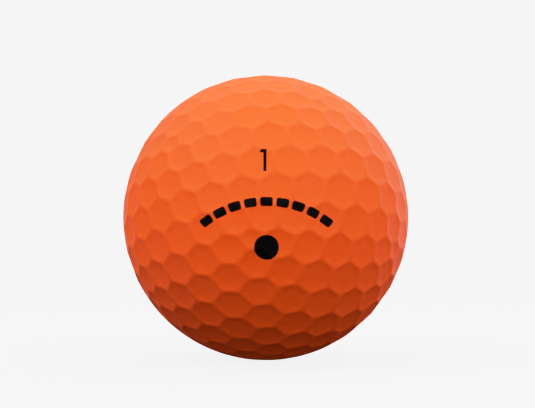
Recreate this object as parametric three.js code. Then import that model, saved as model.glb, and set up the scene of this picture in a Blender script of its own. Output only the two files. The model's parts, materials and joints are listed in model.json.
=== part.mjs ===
// Two-piece golf ball in millimetres, +Z up, with its centre at the origin.
// A solid rubber core sits inside a thin cover. The cover is moulded from two half cups,
// which meet on a zig-zag parting line between two rows of hexagonal dimples.
import * as THREE from 'three';
import { ConvexHull } from 'three/addons/math/ConvexHull.js';

// Driving dimensions.
const BALL_DIAMETER = 42.67;
const CORE_DIAMETER = 38.9;
const DIMPLE_DEPTH = 0.24;

// Section of a dimple from its rim to its middle: where each ring of corners lies, as a
// share of that way, and how deep, as a share of the full depth.
const SECTION = [
  { span: 0.22, drop: 0.25 },
  { span: 0.5, drop: 0.68 },
];

// Dimple layout, counted in rings from a pole. A cap of CAP_STEPS rings covers each pole,
// and a belt joins the two caps. The ring where a cap ends holds one pentagonal dimple at
// each of its SYMMETRY corners, and each pole is a pentagon too.
const SYMMETRY = 5;
const CAP_STEPS = 6;
const BELT_STEPS = 5;
const CAP_ANGLE = 66.85;
const LAST_UPPER_RING = 8;

// The pentagons are smaller than the hexagons. Each ridge lies where two neighbouring
// middles are equally near, and the pentagons' middles are first drawn in to this share
// of the sphere's radius, which draws their ridges in.
const PENTAGON_PULL = 0.9968;

// How the ball lies, in degrees: the layout spins about its pole, the pole tips from +Z
// about X, and the whole turns about Z.
const POLE_SPIN = 111.22;
const POLE_TIP = 102.58;
const POLE_TURN = 63.01;

const radians = THREE.MathUtils.degToRad;
const ballRadius = BALL_DIAMETER / 2;
const coreRadius = CORE_DIAMETER / 2;

const materials = {
  core: new THREE.MeshStandardMaterial({ color: 0x5d6a70, roughness: 0.85, metalness: 0 }),
  cover: new THREE.MeshStandardMaterial({ color: 0xec5c1f, roughness: 0.5, metalness: 0 }),
};

// The unit vector at an angle from the layout's pole and a turn about it.
function direction(poleAngle, turn) {
  const flat = Math.sin(poleAngle);
  return new THREE.Vector3(flat * Math.cos(turn), flat * Math.sin(turn), Math.cos(poleAngle));
}

// A point of the flat triangle a, b, c, from the shares of its three corners.
function mix(a, shareA, b, shareB, c, shareC) {
  return new THREE.Vector3()
    .addScaledVector(a, shareA)
    .addScaledVector(b, shareB)
    .addScaledVector(c, shareC);
}

// The rings of a cap, from the one next to the pole outwards: each of the five flat
// triangles between the pole and two corners gives one stretch of every ring.
function capRings(pole, corners) {
  const rings = [];
  for (let ring = 1; ring <= CAP_STEPS; ring += 1) {
    const points = [];
    for (let side = 0; side < SYMMETRY; side += 1) {
      const near = corners[side];
      const far = corners[(side + 1) % SYMMETRY];
      for (let step = 0; step < ring; step += 1) {
        const rest = ring - step;
        points.push(mix(pole, CAP_STEPS - ring, near, rest, far, step));
      }
    }
    rings.push(points);
  }
  return rings;
}

// The rings of the belt between the two caps, from the upper one down. The lower cap's
// corners are turned back by half of the belt's steps, so its flat triangles interlock.
function beltRings(upper, lower) {
  const rings = [];
  for (let ring = 1; ring < BELT_STEPS; ring += 1) {
    const down = ring / BELT_STEPS;
    const points = [];
    for (let side = 0; side < SYMMETRY; side += 1) {
      const next = (side + SYMMETRY - 1) % SYMMETRY;
      for (let step = 0; step < CAP_STEPS; step += 1) {
        const along = step / CAP_STEPS;
        const leaning = along + down <= 1;
        points.push(
          leaning
            ? mix(upper[side], 1 - along - down, upper[next], along, lower[side], down)
            : mix(lower[next], along + down - 1, lower[side], 1 - along, upper[next], 1 - down),
        );
      }
    }
    rings.push(points);
  }
  return rings;
}

// Every dimple's middle on the unit sphere, in rings from the upper pole to the lower one,
// with the pentagons' middles drawn in.
function dimpleRings() {
  const capAngle = radians(CAP_ANGLE);
  const side = (2 * Math.PI) / SYMMETRY;
  const shift = (-side * BELT_STEPS) / (2 * CAP_STEPS);
  const upperCorners = [];
  const lowerCorners = [];
  for (let corner = 0; corner < SYMMETRY; corner += 1) {
    upperCorners.push(direction(capAngle, side * corner));
    lowerCorners.push(direction(Math.PI - capAngle, side * corner + shift));
  }
  const upperPole = direction(0, 0);
  const lowerPole = direction(Math.PI, 0);
  const rings = [
    [upperPole],
    ...capRings(upperPole, upperCorners),
    ...beltRings(upperCorners, lowerCorners),
    ...capRings(lowerPole, lowerCorners).reverse(),
    [lowerPole],
  ];
  const zAxis = new THREE.Vector3(0, 0, 1);
  const xAxis = new THREE.Vector3(1, 0, 0);
  for (const middle of rings.flat()) {
    middle
      .normalize()
      .applyAxisAngle(zAxis, radians(POLE_SPIN))
      .applyAxisAngle(xAxis, radians(POLE_TIP))
      .applyAxisAngle(zAxis, radians(POLE_TURN));
  }
  const capEnds = [rings[CAP_STEPS], rings[rings.length - 1 - CAP_STEPS]];
  const capCorners = capEnds.flatMap((ring) => ring.filter((_, place) => place % CAP_STEPS === 0));
  for (const middle of [upperPole, lowerPole, ...capCorners]) {
    middle.multiplyScalar(PENTAGON_PULL);
  }
  return rings;
}

// Three neighbouring dimples share one corner, where their ridges meet: the unit normal
// of the plane through their middles. Returns one map per dimple, from each neighbour to
// the corner that follows it and the next neighbour, anticlockwise from outside.
function neighbourMaps(middles) {
  const maps = middles.map(() => new Map());
  const numbers = new Map(middles.map((middle, number) => [middle, number]));
  for (const face of new ConvexHull().setFromPoints(middles).faces) {
    const points = [face.getEdge(0), face.getEdge(1), face.getEdge(2)].map((edge) =>
      numbers.get(edge.head().point),
    );
    const corner = face.normal.clone();
    points.forEach((point, place) => {
      const after = points[(place + 1) % points.length];
      const before = points[(place + 2) % points.length];
      maps[point].set(after, { corner, next: before });
    });
  }
  return maps;
}

// A closed body grows from triangles given by their corner points.
class Skin {
  constructor() {
    this.positions = [];
  }

  triangle(a, b, c) {
    this.positions.push(...a, ...b, ...c);
  }

  quad(a, b, c, d) {
    this.triangle(a, b, c);
    this.triangle(a, c, d);
  }

  mesh(name, material) {
    const geometry = new THREE.BufferGeometry();
    geometry.setAttribute('position', new THREE.Float32BufferAttribute(this.positions, 3));
    geometry.computeVertexNormals();
    const mesh = new THREE.Mesh(geometry, material);
    mesh.name = name;
    return mesh;
  }
}

// The stretches of a dimple's outline in turn, anticlockwise from outside: the two
// corners of each, and the number of the dimple beyond it.
function outline(map) {
  const stretches = [];
  const first = map.keys().next().value;
  let neighbour = first;
  do {
    const { corner, next } = map.get(neighbour);
    stretches.push({ start: corner, end: map.get(next).corner, beyond: next });
    neighbour = next;
  } while (neighbour !== first);
  return stretches;
}

const rings = dimpleRings();
const middles = rings.flat();
const outlines = neighbourMaps(middles).map(outline);
const upperCount = rings.slice(0, LAST_UPPER_RING + 1).flat().length;

// A half cup of the cover, from the numbers of the first dimple and of the one past its last.
function cup(name, from, upTo) {
  const skin = new Skin();
  for (let number = from; number < upTo; number += 1) {
    const middle = middles[number];
    const floor = middle.clone().setLength(ballRadius - DIMPLE_DEPTH);
    const lining = middle.clone().setLength(coreRadius);
    const sink = (corner, { span, drop }) =>
      corner.clone().lerp(middle, span).setLength(ballRadius - DIMPLE_DEPTH * drop);
    for (const { start, end, beyond } of outlines[number]) {
      const [startRidge, endRidge] = [start, end].map((c) => c.clone().setLength(ballRadius));
      const [startInner, endInner] = [start, end].map((c) => c.clone().setLength(coreRadius));
      let [startRim, endRim] = [startRidge, endRidge];
      for (const place of SECTION) {
        const [startFoot, endFoot] = [sink(start, place), sink(end, place)];
        skin.quad(startFoot, startRim, endRim, endFoot);
        [startRim, endRim] = [startFoot, endFoot];
      }
      skin.triangle(floor, startRim, endRim);
      skin.triangle(lining, endInner, startInner);
      if (beyond < from || beyond >= upTo) {
        skin.quad(endRidge, startRidge, startInner, endInner);
      }
    }
  }
  return skin.mesh(name, materials.cover);
}

// The core fills the cover: its facets are those of the cups' inner faces.
function core() {
  const skin = new Skin();
  middles.forEach((middle, number) => {
    const top = middle.clone().setLength(coreRadius);
    for (const { start, end } of outlines[number]) {
      skin.triangle(
        top,
        start.clone().setLength(coreRadius),
        end.clone().setLength(coreRadius),
      );
    }
  });
  return skin.mesh('rubber_core', materials.core);
}

const ball = new THREE.Group();
ball.add(core());
ball.add(cup('cover_half_a', 0, upperCount));
ball.add(cup('cover_half_b', upperCount, middles.length));

export default ball;
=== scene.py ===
"""Looks for a two-piece golf ball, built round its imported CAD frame.

The cover's two half cups carry 332 dimples: 320 hexagons and 12 pentagons in rings about
a moulding pole. Every length is in metres, +Z is up and the printed side faces -Y.
"""

import json
import math

import bmesh
import bpy
import numpy as np
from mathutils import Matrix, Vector


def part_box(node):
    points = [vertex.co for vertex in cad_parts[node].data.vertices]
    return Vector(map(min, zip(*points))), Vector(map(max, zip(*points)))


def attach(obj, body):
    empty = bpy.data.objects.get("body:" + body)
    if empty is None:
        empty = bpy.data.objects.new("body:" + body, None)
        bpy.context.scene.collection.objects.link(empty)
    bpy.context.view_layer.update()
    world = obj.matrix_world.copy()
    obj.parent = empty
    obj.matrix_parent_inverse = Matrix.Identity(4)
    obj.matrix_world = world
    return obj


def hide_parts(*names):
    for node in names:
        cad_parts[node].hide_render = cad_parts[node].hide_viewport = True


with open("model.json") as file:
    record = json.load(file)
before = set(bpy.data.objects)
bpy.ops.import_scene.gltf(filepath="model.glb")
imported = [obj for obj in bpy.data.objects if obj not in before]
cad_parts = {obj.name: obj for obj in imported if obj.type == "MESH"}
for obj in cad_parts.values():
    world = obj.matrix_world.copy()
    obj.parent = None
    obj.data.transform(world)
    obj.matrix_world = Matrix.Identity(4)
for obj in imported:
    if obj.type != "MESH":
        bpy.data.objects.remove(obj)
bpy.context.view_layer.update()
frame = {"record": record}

MM = 0.001

# Sizes from the frame: the tee holds the ball at its lowest point, and the core is round.
mounts = {mount["name"]: mount for mount in frame["record"]["mounts"]}
BALL_RADIUS = -mounts["tee_rest"]["pos_m"][2]
core_low, core_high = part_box("rubber_core")
CORE_RADIUS = max(core_high - core_low) / 2

# The dimple layout, as in the CAD source.
SYMMETRY = 5
CAP_STEPS = 6
BELT_STEPS = 5
CAP_ANGLE = math.radians(66.85)
LAST_UPPER_RING = 8
PENTAGON_PULL = 0.9968
POLE_SPIN = math.radians(111.22)
POLE_TIP = math.radians(102.58)
POLE_TURN = math.radians(63.01)

# The section of a dimple: how steep its wall would be without a rounded rim, and how
# sharply the rounding gives way to the wall. Then, in shares of the ball's radius, the
# width of the rounding, how far in from the rim the slope has halved, the softness of the
# corners between walls, and how far it is from the rim to the middle.
WALL_SLOPE = 0.43
ROUNDING_POWER = 1.5
RIM_ROUNDING = 0.0115
SLOPE_HALVED = 0.028
CORNER_SOFTNESS = 0.008
BOWL_REACH = 0.0895

# Mesh fineness: pieces of each dimple side, where the rings of a bowl lie, as shares of
# the way from the ridge to the middle, how many points the table of its section has, and
# the grid on which vertices at the same place meet.
SIDE_PIECES = 8
BOWL_RINGS = (0.0, 0.05, 0.11, 0.18, 0.27, 0.38, 0.51, 0.66, 0.82)
TABLE_POINTS = 600
WELD_GRID = MM * 1e-5

# A share of a triangle below zero by no more than this is a rounding error.
TOLERANCE = 1e-9


# ---------------------------------------------------------------- dimple layout

def unit(vectors):
    """The same vectors with length 1."""
    return vectors / np.linalg.norm(vectors, axis=-1, keepdims=True)


def direction(pole_angle, turn):
    """The unit vector at an angle from the layout's pole and a turn about it."""
    flat = math.sin(pole_angle)
    return np.array([flat * math.cos(turn), flat * math.sin(turn), math.cos(pole_angle)])


def cap_rings(pole, corners):
    """The rings of a cap from the one next to the pole outwards, over five flat triangles."""
    rings = []
    for ring in range(1, CAP_STEPS + 1):
        points = []
        for side in range(SYMMETRY):
            near = corners[side]
            far = corners[(side + 1) % SYMMETRY]
            for step in range(ring):
                points.append(pole * (CAP_STEPS - ring) + near * (ring - step) + far * step)
        rings.append(points)
    return rings


def belt_rings(upper, lower):
    """The rings between the caps, from the upper one down, over interlocking triangles."""
    rings = []
    for ring in range(1, BELT_STEPS):
        down = ring / BELT_STEPS
        points = []
        for side in range(SYMMETRY):
            near, far = upper[side], upper[side - 1]
            below_near, below_far = lower[side], lower[side - 1]
            for step in range(CAP_STEPS):
                along = step / CAP_STEPS
                rest = 1 - along - down
                if rest >= -TOLERANCE:
                    points.append(near * rest + far * along + below_near * down)
                else:
                    points.append(below_far * -rest + below_near * (1 - along) + far * (1 - down))
        rings.append(points)
    return rings


def turned(points, axis, angle):
    """The points turned about a row axis, 0 for X or 2 for Z, by the right-hand rule."""
    first, second = (axis + 1) % 3, (axis + 2) % 3
    result = points.copy()
    cosine, sine = math.cos(angle), math.sin(angle)
    result[:, first] = points[:, first] * cosine - points[:, second] * sine
    result[:, second] = points[:, first] * sine + points[:, second] * cosine
    return result


def dimple_middles():
    """Every dimple's middle on the unit sphere, and how many belong to the upper half cup.
    The pentagons' middles are drawn in, which makes those dimples smaller."""
    side = 2 * math.pi / SYMMETRY
    shift = -side * BELT_STEPS / (2 * CAP_STEPS)
    upper = [direction(CAP_ANGLE, side * n) for n in range(SYMMETRY)]
    lower = [direction(math.pi - CAP_ANGLE, side * n + shift) for n in range(SYMMETRY)]
    top, bottom = direction(0, 0), direction(math.pi, 0)
    rings = [[top]] + cap_rings(top, upper) + belt_rings(upper, lower)
    rings += cap_rings(bottom, lower)[::-1] + [[bottom]]
    points = unit(np.array([point for ring in rings for point in ring]))
    points = turned(turned(turned(points, 2, POLE_SPIN), 0, POLE_TIP), 2, POLE_TURN)
    pulls = [np.ones(len(ring)) for ring in rings]
    for end in (0, CAP_STEPS, -1 - CAP_STEPS, -1):
        pulls[end][::CAP_STEPS] = PENTAGON_PULL
    points *= np.concatenate(pulls)[:, None]
    return points, sum(len(ring) for ring in rings[: LAST_UPPER_RING + 1])


def dimple_outlines(middles):
    """For each dimple, its neighbours and its corners, both anticlockwise from outside.
    Corner k lies between neighbours k - 1 and k, where three dimples meet."""
    hull = bmesh.new()
    for middle in middles:
        hull.verts.new(middle)
    hull.verts.index_update()
    bmesh.ops.convex_hull(hull, input=hull.verts)
    following = [{} for _ in middles]
    for face in hull.faces:
        points = [vertex.index for vertex in face.verts]
        a, b, c = middles[points]
        corner = unit(np.cross(b - a, c - a))
        if corner @ a < 0:
            points.reverse()
            corner = -corner
        for place, point in enumerate(points):
            # Of three points, the one two places before is also the one after.
            after, before = points[place - 2], points[place - 1]
            following[point][after] = (corner, before)
    hull.free()
    outlines = []
    for links in following:
        neighbours, corners = [], []
        neighbour = min(links)
        for _ in links:
            corner, neighbour = links[neighbour]
            corners.append(corner)
            neighbours.append(neighbour)
        outlines.append((neighbours, np.array(corners)))
    return outlines


middles, upper_count = dimple_middles()
outlines = dimple_outlines(middles)

# The planes that part each dimple from its neighbours. A pentagon's spare sixth plane is
# far away, so it has no effect.
FAR_AWAY = 1.0
MOST_SIDES = 6
side_planes = np.zeros((len(middles), MOST_SIDES, 3))
side_offsets = np.full((len(middles), MOST_SIDES), FAR_AWAY)
for number, (neighbours, _) in enumerate(outlines):
    side_planes[number, : len(neighbours)] = unit(middles[number] - middles[neighbours])
    side_offsets[number, : len(neighbours)] = 0.0


# ---------------------------------------------------------------- ball surface

def bowl_table():
    """Distances in from a straight ridge, and the slope and the depth of the bowl there."""
    reach = np.linspace(0, BOWL_REACH, TABLE_POINTS)
    rounding = 1 - np.exp(-((reach / RIM_ROUNDING) ** ROUNDING_POWER))
    slope = WALL_SLOPE * rounding / (1 + (reach / SLOPE_HALVED) ** 2)
    steps = (slope[1:] + slope[:-1]) / 2 * np.diff(reach)
    return reach, slope, np.concatenate([[0], np.cumsum(steps)])


REACH, SLOPE, DEPTH = bowl_table()


def surface(directions, cells=None):
    """The ball's outer radius and its normals along unit vectors, with the share of the
    way from the nearest ridge to the middle of the bowl."""
    if cells is None:
        cells = np.argmax(directions @ middles.T, axis=1)
    planes = side_planes[cells]
    gaps = np.einsum("nkj,nj->nk", planes, directions) + side_offsets[cells]
    nearest = gaps.min(axis=1, keepdims=True)
    pull = np.exp((nearest - gaps) / CORNER_SOFTNESS)
    total = pull.sum(axis=1, keepdims=True)
    inward = np.einsum("nk,nkj->nj", pull / total, planes)
    inward -= np.einsum("nj,nj->n", inward, directions)[:, None] * directions
    reach = np.clip(nearest[:, 0] - CORNER_SOFTNESS * np.log(total[:, 0]), 0, BOWL_REACH)
    radius = BALL_RADIUS * (1 - np.interp(reach, REACH, DEPTH))
    slope = np.interp(reach, REACH, SLOPE)
    normals = unit(directions + slope[:, None] * inward)
    return radius, normals, reach / BOWL_REACH


def new_object(name, vertices, faces, loop_normals=None):
    """A mesh object of that name in the row frame."""
    mesh = bpy.data.meshes.new(name)
    mesh.from_pydata(vertices.tolist(), [], faces)
    if loop_normals is not None:
        mesh.shade_smooth()
        mesh.normals_split_custom_set(loop_normals.tolist())
    made = bpy.data.objects.new(name, mesh)
    bpy.context.scene.collection.objects.link(made)
    return made


def side_points(corners):
    """Points round a dimple's outline, SIDE_PIECES to a side."""
    shares = np.arange(SIDE_PIECES)[:, None] / SIDE_PIECES
    following = np.roll(corners, -1, axis=0)
    sides = [start * (1 - shares) + end * shares for start, end in zip(corners, following)]
    return unit(np.concatenate(sides))


def web(count, rings, first, facing_out):
    """Faces of a disc of rings of points that ends in one middle point."""
    faces = []
    for ring in range(rings - 1):
        for place in range(count):
            a = first + ring * count + place
            b = first + ring * count + (place + 1) % count
            faces.append((a, b, b + count, a + count))
    last = first + (rings - 1) * count
    for place in range(count):
        faces.append((last + place, last + (place + 1) % count, last + count))
    return faces if facing_out else [face[::-1] for face in faces]


def disc(outline, middle, shares):
    """Unit vectors of a dimple: the outline drawn in towards its middle, ring by ring."""
    rings = [unit(outline * (1 - share) + middle * share) for share in shares]
    return np.concatenate(rings + [unit(middle)[None]])


def welded(vertices, faces):
    """The vertices and faces of the same mesh, with the vertices at one place joined."""
    keys = np.round(vertices / WELD_GRID).astype(np.int64)
    _, kept, numbers = np.unique(keys, axis=0, return_index=True, return_inverse=True)
    numbers = numbers.reshape(-1)
    return vertices[kept], [tuple(numbers[list(face)].tolist()) for face in faces]


def half_cup(name, from_cell, up_to_cell):
    """One half of the cover: dimples outside, a smooth lining inside, and between them the
    wall along the zig-zag parting line."""
    vertices, normals, ridge, faces = [], [], [], []
    lining_rings = (0.0, 0.5)
    count = 0
    for cell in range(from_cell, up_to_cell):
        neighbours, corners = outlines[cell]
        edge = side_points(corners)
        outer = disc(edge, middles[cell], BOWL_RINGS)
        radius, normal, reach = surface(outer, np.full(len(outer), cell))
        lining = disc(edge, middles[cell], lining_rings)
        faces += web(len(edge), len(BOWL_RINGS), count, True)
        faces += web(len(edge), len(lining_rings), count + len(outer), False)
        vertices += [outer * radius[:, None], lining * CORE_RADIUS]
        normals += [normal, -lining]
        ridge += [reach, np.ones(len(lining))]
        count += len(outer) + len(lining)
        for side, neighbour in enumerate(neighbours):
            if from_cell <= neighbour < up_to_cell:
                continue
            start = side * SIDE_PIECES
            stretch = edge[np.arange(start, start + SIDE_PIECES + 1) % len(edge)]
            across = unit(np.cross(stretch[0], stretch[-1]))
            vertices += [stretch * BALL_RADIUS, stretch * CORE_RADIUS]
            normals += [np.tile(-across, (2 * len(stretch), 1))]
            ridge += [np.zeros(2 * len(stretch))]
            for place in range(SIDE_PIECES):
                a, b = count + place, count + place + 1
                faces.append((b, a, a + len(stretch), b + len(stretch)))
            count += 2 * len(stretch)
    vertices = np.concatenate(vertices)
    normals = np.concatenate(normals)
    ridge = np.concatenate(ridge)
    loop_vertices = np.concatenate([np.array(face) for face in faces])
    kept, joined = welded(vertices, faces)
    made = new_object(name, kept, joined, normals[loop_vertices])
    bowl = made.data.attributes.new("bowl", "FLOAT", "CORNER")
    bowl.data.foreach_set("value", ridge[loop_vertices].astype(np.float32))
    return made


def make_core():
    """The rubber core: a round ball with a faint flash line where its mould closed. It
    lies as the cover does, so the line goes round under the parting line."""
    rows, columns = 96, 192
    flash_rise, flash_width = 0.02 * MM, 0.25 * MM
    heights = np.linspace(0, math.pi, rows + 1)[1:-1]
    turns = np.arange(columns) * 2 * math.pi / columns
    points = [direction(height, turn) for height in heights for turn in turns]
    points = np.array(points + [direction(0, 0), direction(math.pi, 0)])
    from_flash = points[:, 2] * CORE_RADIUS / flash_width
    radius = CORE_RADIUS - flash_rise + flash_rise * np.exp(-(from_flash ** 2))
    faces = []
    top, bottom = len(points) - 2, len(points) - 1
    last = (rows - 2) * columns
    for row in range(rows - 2):
        for place in range(columns):
            a = row * columns + place
            b = row * columns + (place + 1) % columns
            faces.append((a, a + columns, b + columns, b))
    for place in range(columns):
        after = (place + 1) % columns
        faces.append((top, place, after))
        faces.append((bottom, last + after, last + place))
    points = turned(turned(points, 0, POLE_TIP), 2, POLE_TURN)
    made = new_object("core", points * radius[:, None], faces)
    made.data.shade_smooth()
    return made


# ---------------------------------------------------------------- print

# Marks are drawn on a flat plate in front of the ball, X to the right and Z up from its
# middle, and pressed straight back on to the cover as a pad prints them.
INK_THICKNESS = 0.015 * MM
INK_ROOT = 0.03 * MM
INK_STEP = 0.12 * MM
SHARP_EDGE = math.radians(40)


def pressed(plate, lift):
    """Points of the plate pressed on to the cover, lifted off it by a small height."""
    x, z = plate[:, 0] / BALL_RADIUS, plate[:, 1] / BALL_RADIUS
    directions = np.column_stack([x, -np.sqrt(1 - x * x - z * z), z])
    radius, _, _ = surface(directions)
    return directions * (radius + lift)[:, None]


def film_faces(rows, columns, first):
    """Faces of a closed film: a sheet of rows by columns points, its underside and its edge."""
    faces = []
    below = rows * columns
    for row in range(rows - 1):
        for column in range(columns - 1):
            a = first + row * columns + column
            b, c, d = a + 1, a + columns + 1, a + columns
            faces.append((a, b, c, d))
            faces.append((d + below, c + below, b + below, a + below))
    edge = list(range(columns))
    edge += [row * columns + columns - 1 for row in range(1, rows)]
    edge += [(rows - 1) * columns + column for column in range(columns - 2, -1, -1)]
    edge += [row * columns for row in range(rows - 2, 0, -1)]
    for a, b in zip(edge, edge[1:] + edge[:1]):
        faces.append((first + b, first + a, first + a + below, first + b + below))
    return faces


def ink_film(name, grids):
    """A mark of ink: one closed film for each grid of plate points, rows by columns, whose
    rows run upwards and columns to the right."""
    vertices, faces = [], []
    count = 0
    for grid in grids:
        rows, columns = grid.shape[:2]
        plate = grid.reshape(-1, 2)
        vertices += [pressed(plate, INK_THICKNESS), pressed(plate, -INK_ROOT)]
        faces += film_faces(rows, columns, count)
        count += 2 * rows * columns
    made = new_object(name, np.concatenate(vertices), faces)
    made.data.shade_smooth()
    made.data.set_sharp_from_angle(angle=SHARP_EDGE)
    return made


def steps(length):
    """How many points a stretch of ink of that length needs to follow the dimples."""
    return max(3, math.ceil(length / INK_STEP) + 1)


def numeral_one():
    """The play number: an upright stroke with a short slanted flag at its top left."""
    height, width = 3.02 * MM, 0.44 * MM
    foot, left = 6.40 * MM, -0.335 * MM
    flag_height, flag_foot_reach, flag_top_reach = 0.42 * MM, 0.52 * MM, 0.34 * MM
    flag_foot = height - flag_height
    # The rows of the stroke stop this far below the flag, so that the flag's foot is square.
    notch = 0.02 * MM
    stem = np.linspace(0, flag_foot - notch, steps(flag_foot))
    flag = np.linspace(flag_foot, height, steps(flag_height))
    reach = np.interp(flag, (flag_foot, height), (flag_foot_reach, flag_top_reach))
    rises = np.concatenate([stem, flag])
    reaches = np.concatenate([np.zeros(len(stem)), reach])
    across = np.linspace(0, 1, steps(width + flag_foot_reach))
    x = left - reaches[:, None] + (width + reaches[:, None]) * across
    z = np.broadcast_to(foot + rises[:, None], x.shape)
    return np.dstack([x, z])


def arc_dash(middle_angle):
    """One dash of the arc, with round corners. The angle is measured from straight up."""
    arc_radius, arc_middle_x, arc_middle_z = 14.2 * MM, 0.1 * MM, -12.0 * MM
    length, height, corner = 1.72 * MM, 1.25 * MM, 0.3 * MM
    along = np.linspace(-length / 2, length / 2, 2 * steps(length))
    from_end = np.minimum(length / 2 - np.abs(along), corner)
    half = height / 2 - corner + np.sqrt(corner ** 2 - (corner - from_end) ** 2)
    across = np.linspace(-1, 1, steps(height))[:, None]
    radius = arc_radius + across * half
    angle = middle_angle + along / arc_radius
    x = arc_middle_x + radius * np.sin(angle)
    z = arc_middle_z + radius * np.cos(angle)
    return np.dstack([x, z])


def round_dot():
    """A round spot: a square grid drawn in to a circle."""
    radius, middle_x, middle_z = 1.7 * MM, 0.1 * MM, -4.05 * MM
    share = np.linspace(-1, 1, steps(2 * radius))
    x, z = np.meshgrid(share, share)
    reach = np.hypot(x, z)
    drawn = radius * np.maximum(np.abs(x), np.abs(z)) / np.where(reach > 0, reach, 1)
    return np.dstack([middle_x + x * drawn, middle_z + z * drawn])


# ---------------------------------------------------------------- materials

# Colours in pairs, each blended from the first to the second: the coat's slow drift of
# tone and its fine specks, the ink's mottle and the rubber's. The filler lies on the rubber.
COAT_TONES = ((0.79, 0.070, 0.0056, 1), (0.83, 0.076, 0.0064, 1))
COAT_SPECKS = ((0.67, 0.048, 0.003, 1), (0.95, 0.098, 0.009, 1))
COAT_SPECK_SHARE = 0.4
INK_TONES = ((0.0006, 0.0006, 0.0007, 1), (0.0016, 0.0016, 0.0018, 1))
RUBBER_TONES = ((0.09, 0.12, 0.14, 1), (0.13, 0.16, 0.18, 1))
FILLER = (0.32, 0.35, 0.36, 1)

class Nodes:
    """A new material's nodes, round its Principled shader."""

    def __init__(self, name):
        self.material = bpy.data.materials.new(name)
        self.material.use_nodes = True
        self.tree = self.material.node_tree
        self.shader = self.tree.nodes["Principled BSDF"]
        self.place = self.add("ShaderNodeTexCoord").outputs["Object"]

    def add(self, kind, **values):
        """A node, with its inputs set by name, or linked where the value is a socket."""
        node = self.tree.nodes.new(kind)
        self.fill(node, **values)
        return node

    def fill(self, node, **values):
        """Sets a node's inputs by name. An underscore stands for a space."""
        for name, value in values.items():
            entry = node.inputs[name.replace("_", " ")]
            if isinstance(value, bpy.types.NodeSocket):
                self.tree.links.new(value, entry)
            else:
                entry.default_value = value

    def noise(self, grain, detail=2.0, roughness=0.5):
        """Noise with grains of about that size, from 0 to 1."""
        node = self.add(
            "ShaderNodeTexNoise",
            Vector=self.place,
            Scale=1 / grain,
            Detail=detail,
            Roughness=roughness,
        )
        return node.outputs["Fac"]

    def between(self, share, low, high):
        """A number from low to high as the share goes from 0 to 1."""
        node = self.add("ShaderNodeMapRange", Value=share, To_Min=low, To_Max=high)
        return node.outputs["Result"]

    def sum(self, first, second):
        """Two numbers added."""
        node = self.add("ShaderNodeMath")
        self.tree.links.new(first, node.inputs[0])
        self.tree.links.new(second, node.inputs[1])
        return node.outputs[0]

    def blend(self, share, first, second):
        """A colour between two as the share goes from 0 to 1."""
        node = self.tree.nodes.new("ShaderNodeMix")
        node.data_type = "RGBA"
        # The node keeps its numbers, vectors and colours apart, and these are the colours'.
        factor, a, b = node.inputs[0], node.inputs[6], node.inputs[7]
        for entry, value in ((factor, share), (a, first), (b, second)):
            if isinstance(value, bpy.types.NodeSocket):
                self.tree.links.new(value, entry)
            else:
                entry.default_value = value
        return node.outputs[2]

    def bump(self, height, depth, below=None):
        """A bump whose full height is that depth, on top of another if one is given."""
        node = self.add("ShaderNodeBump", Height=height, Distance=depth, Strength=1.0)
        if below is not None:
            self.tree.links.new(below, node.inputs["Normal"])
        return node.outputs["Normal"]


def orange_coat():
    """The cover's matte orange coat: even, with a fine orange-peel skin, and a little
    smoother on the ridges, where it is handled."""
    nodes = Nodes("orange_coat")
    bowl = nodes.add("ShaderNodeAttribute")
    bowl.attribute_name = "bowl"
    tone = nodes.between(nodes.noise(6 * MM, 3.0), 0.25, 0.75)
    colour = nodes.blend(tone, *COAT_TONES)
    speck = nodes.noise(0.09 * MM, 2.0)
    fine = nodes.blend(speck, *COAT_SPECKS)
    smoothness = nodes.between(bowl.outputs["Fac"], -0.06, 0.0)
    grain = nodes.between(nodes.noise(0.3 * MM), 0.56, 0.66)
    peel = nodes.bump(nodes.noise(0.7 * MM, 1.0), 0.008 * MM)
    nodes.fill(
        nodes.shader,
        Base_Color=nodes.blend(COAT_SPECK_SHARE, colour, fine),
        Roughness=nodes.sum(grain, smoothness),
        Specular_IOR_Level=0.1,
        Normal=nodes.bump(nodes.noise(0.07 * MM, 2.0), 0.008 * MM, peel),
    )
    return nodes.material


def black_ink():
    """Pad-printed black ink under the matte coat."""
    nodes = Nodes("black_ink")
    mottle = nodes.noise(0.15 * MM, 2.0)
    nodes.fill(
        nodes.shader,
        Base_Color=nodes.blend(mottle, *INK_TONES),
        Roughness=nodes.between(nodes.noise(0.3 * MM), 0.55, 0.65),
        Specular_IOR_Level=0.03,
        Normal=nodes.bump(nodes.noise(0.08 * MM), 0.0008 * MM),
    )
    return nodes.material


def core_rubber():
    """The core's dull moulded rubber, with pale specks of filler."""
    nodes = Nodes("core_rubber")
    specks = nodes.add("ShaderNodeTexVoronoi", Vector=nodes.place, Scale=1 / (0.9 * MM))
    spotted = nodes.between(specks.outputs["Distance"], 3.0, -4.0)
    base = nodes.blend(nodes.noise(5 * MM, 4.0), *RUBBER_TONES)
    nodes.fill(
        nodes.shader,
        Base_Color=nodes.blend(spotted, base, FILLER),
        Roughness=nodes.between(nodes.noise(0.8 * MM), 0.70, 0.90),
        Normal=nodes.bump(nodes.noise(0.2 * MM, 4.0), 0.01 * MM),
    )
    return nodes.material


# ---------------------------------------------------------------- the ball

def add_piece(made, material, slot, *replaced):
    """Gives a piece its material and its place in the frame."""
    made.data.materials.append(material)
    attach(made, "root")
    if replaced:
        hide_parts(*replaced)


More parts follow.
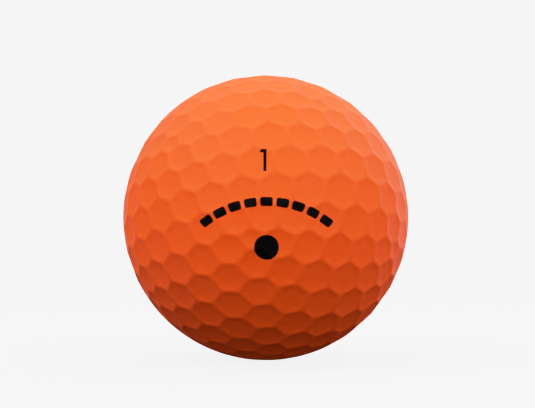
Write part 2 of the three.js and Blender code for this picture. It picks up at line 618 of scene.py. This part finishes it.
def make_ball():
    """Every piece of the ball."""
    coat, ink = orange_coat(), black_ink()
    upper = half_cup("cover_upper", 0, upper_count)
    lower = half_cup("cover_lower", upper_count, len(middles))
    add_piece(upper, coat, "cover_paint", "cover_half_a")
    add_piece(lower, coat, "cover_paint", "cover_half_b")
    add_piece(make_core(), core_rubber(), "core_rubber", "rubber_core")
    dashes, dash_pitch = 9, math.radians(8.9)
    turns = [(place - (dashes - 1) / 2) * dash_pitch for place in range(dashes)]
    add_piece(ink_film("print_number", [numeral_one()]), ink, "print_ink")
    add_piece(ink_film("print_arc", [arc_dash(turn) for turn in turns]), ink, "print_ink")
    add_piece(ink_film("print_dot", [round_dot()]), ink, "print_ink")


make_ball()


# ---------------------------------------------------------------- studio

# The backdrop as the camera sees it, and the dim even light that the ball gets from all
# round.
BACKDROP = (1.53, 1.48, 1.53, 1)
BACKDROP_FILL = 0.02

# How the picture answers light: pairs of light and brightness. It is true up to about a
# half, and then it bends over, so that the brightest orange doesn't burn out.
WHITE_LIGHT = 2.1
ANSWER = ((0.3, 0.3), (0.5, 0.49), (0.9, 0.77), (1.15, 0.85), (1.4, 0.9), (1.9, 0.98))

# The softboxes: azimuth and elevation in degrees, and watts. Azimuth 0 is the camera's
# side, and 90 is to its right.
SOFTBOX_SIZE = 0.4
SOFTBOX_DISTANCE = 0.5
SOFTBOXES = {
    "top": (0, 85, 0.55),
    "left_key": (-60, 50, 2.8),
    "right_key": (60, 50, 1.3),
    "left_front": (-35, 20, 1.1),
    "right_front": (35, 20, 2.0),
    "left_low": (-90, -20, 0.55),
    "right_low": (90, -20, 0.25),
    "left_rear": (-120, 45, 0.75),
    "right_rear": (120, 45, 1.4),
    "rear": (180, 60, 1.05),
    "left_rim": (-150, -5, 0.1),
    "right_rim": (130, 10, 0.75),
    "left_edge": (-158, 12, 0.45),
    "right_edge": (158, 12, 0.6),
}


def make_floor():
    """A plain pale floor under the ball. It glows like the backdrop, and round the ball a
    share of its light comes from the softboxes, so that the ball casts a faint shade."""
    half = 3.0
    shade_reach, shade_end = 0.08, 0.25
    paleness, lit = 0.12, 0.25
    corners = np.array([[-half, -half, 0], [half, -half, 0], [half, half, 0], [-half, half, 0]])
    corners[:, 2] = -BALL_RADIUS
    floor = new_object("floor", corners, [(0, 1, 2, 3)])
    nodes = Nodes("pale_floor")
    away = nodes.add("ShaderNodeVectorMath")
    away.operation = "LENGTH"
    nodes.tree.links.new(nodes.place, away.inputs[0])
    near = nodes.add(
        "ShaderNodeMapRange",
        Value=away.outputs["Value"],
        From_Min=shade_end,
        From_Max=shade_reach,
    )
    share = near.outputs["Result"]
    nodes.fill(
        nodes.shader,
        Base_Color=nodes.blend(share, (0, 0, 0, 1), (paleness, paleness, paleness, 1)),
        Roughness=0.9,
        Specular_IOR_Level=0.0,
        Emission_Color=BACKDROP,
        Emission_Strength=nodes.between(share, 1.0, 1.0 - lit / BACKDROP[0]),
    )
    floor.data.materials.append(nodes.material)
    floor.visible_diffuse = False
    floor.visible_glossy = False
    floor.visible_shadow = False


def softbox(name, azimuth, elevation, watts):
    """A square studio light that faces the ball."""
    light = bpy.data.lights.new(name, "AREA")
    light.shape = "SQUARE"
    light.size = SOFTBOX_SIZE
    light.energy = watts
    lamp = bpy.data.objects.new(name, light)
    turn, rise = math.radians(azimuth), math.radians(elevation)
    level = math.cos(rise)
    place = Vector((math.sin(turn) * level, -math.cos(turn) * level, math.sin(rise)))
    lamp.location = place * SOFTBOX_DISTANCE
    lamp.rotation_euler = place.to_track_quat("Z", "Y").to_euler()
    lamp.visible_camera = False
    bpy.context.scene.collection.objects.link(lamp)


def make_world():
    """Pale to the camera, and a dim even fill for the ball."""
    world = bpy.data.worlds.new("studio")
    world.use_nodes = True
    tree = world.node_tree
    pale = tree.nodes["Background"]
    pale.inputs["Color"].default_value = BACKDROP
    fill = tree.nodes.new("ShaderNodeBackground")
    fill.inputs["Color"].default_value = (1, 1, 1, 1)
    fill.inputs["Strength"].default_value = BACKDROP_FILL
    path = tree.nodes.new("ShaderNodeLightPath")
    mix = tree.nodes.new("ShaderNodeMixShader")
    tree.links.new(path.outputs["Is Camera Ray"], mix.inputs["Fac"])
    tree.links.new(fill.outputs[0], mix.inputs[1])
    tree.links.new(pale.outputs[0], mix.inputs[2])
    tree.links.new(mix.outputs[0], tree.nodes["World Output"].inputs["Surface"])
    world.cycles_visibility.glossy = False
    bpy.context.scene.world = world


def set_answer():
    """Gives the picture its answer to light."""
    view = bpy.context.scene.view_settings
    view.view_transform = "Standard"
    view.use_curve_mapping = True
    mapping = view.curve_mapping
    mapping.white_level = [WHITE_LIGHT] * 3
    # The first three curves act on one colour each, and the fourth on all of them.
    curve = mapping.curves[3]
    for light, brightness in ANSWER:
        curve.points.new(light / WHITE_LIGHT, brightness)
    mapping.update()


def make_camera():
    """The camera: level with the ball and square to the print, aimed a little above it."""
    distance = 10.208 * BALL_RADIUS
    aim_right, aim_up = 0.26 * MM, 2.04 * MM
    sensor_width, focal_length, nearest = 36, 97.5, 0.01
    camera = bpy.data.cameras.new("camera")
    camera.sensor_width = sensor_width
    camera.lens = focal_length
    camera.clip_start = nearest
    made = bpy.data.objects.new("camera", camera)
    made.location = (0, -distance, 0)
    look = Vector((aim_right, distance, aim_up))
    made.rotation_euler = look.to_track_quat("-Z", "Y").to_euler()
    bpy.context.scene.collection.objects.link(made)
    bpy.context.scene.camera = made


make_floor()
make_world()
for name, (azimuth, elevation, watts) in SOFTBOXES.items():
    softbox(name, azimuth, elevation, watts)
make_camera()
set_answer()
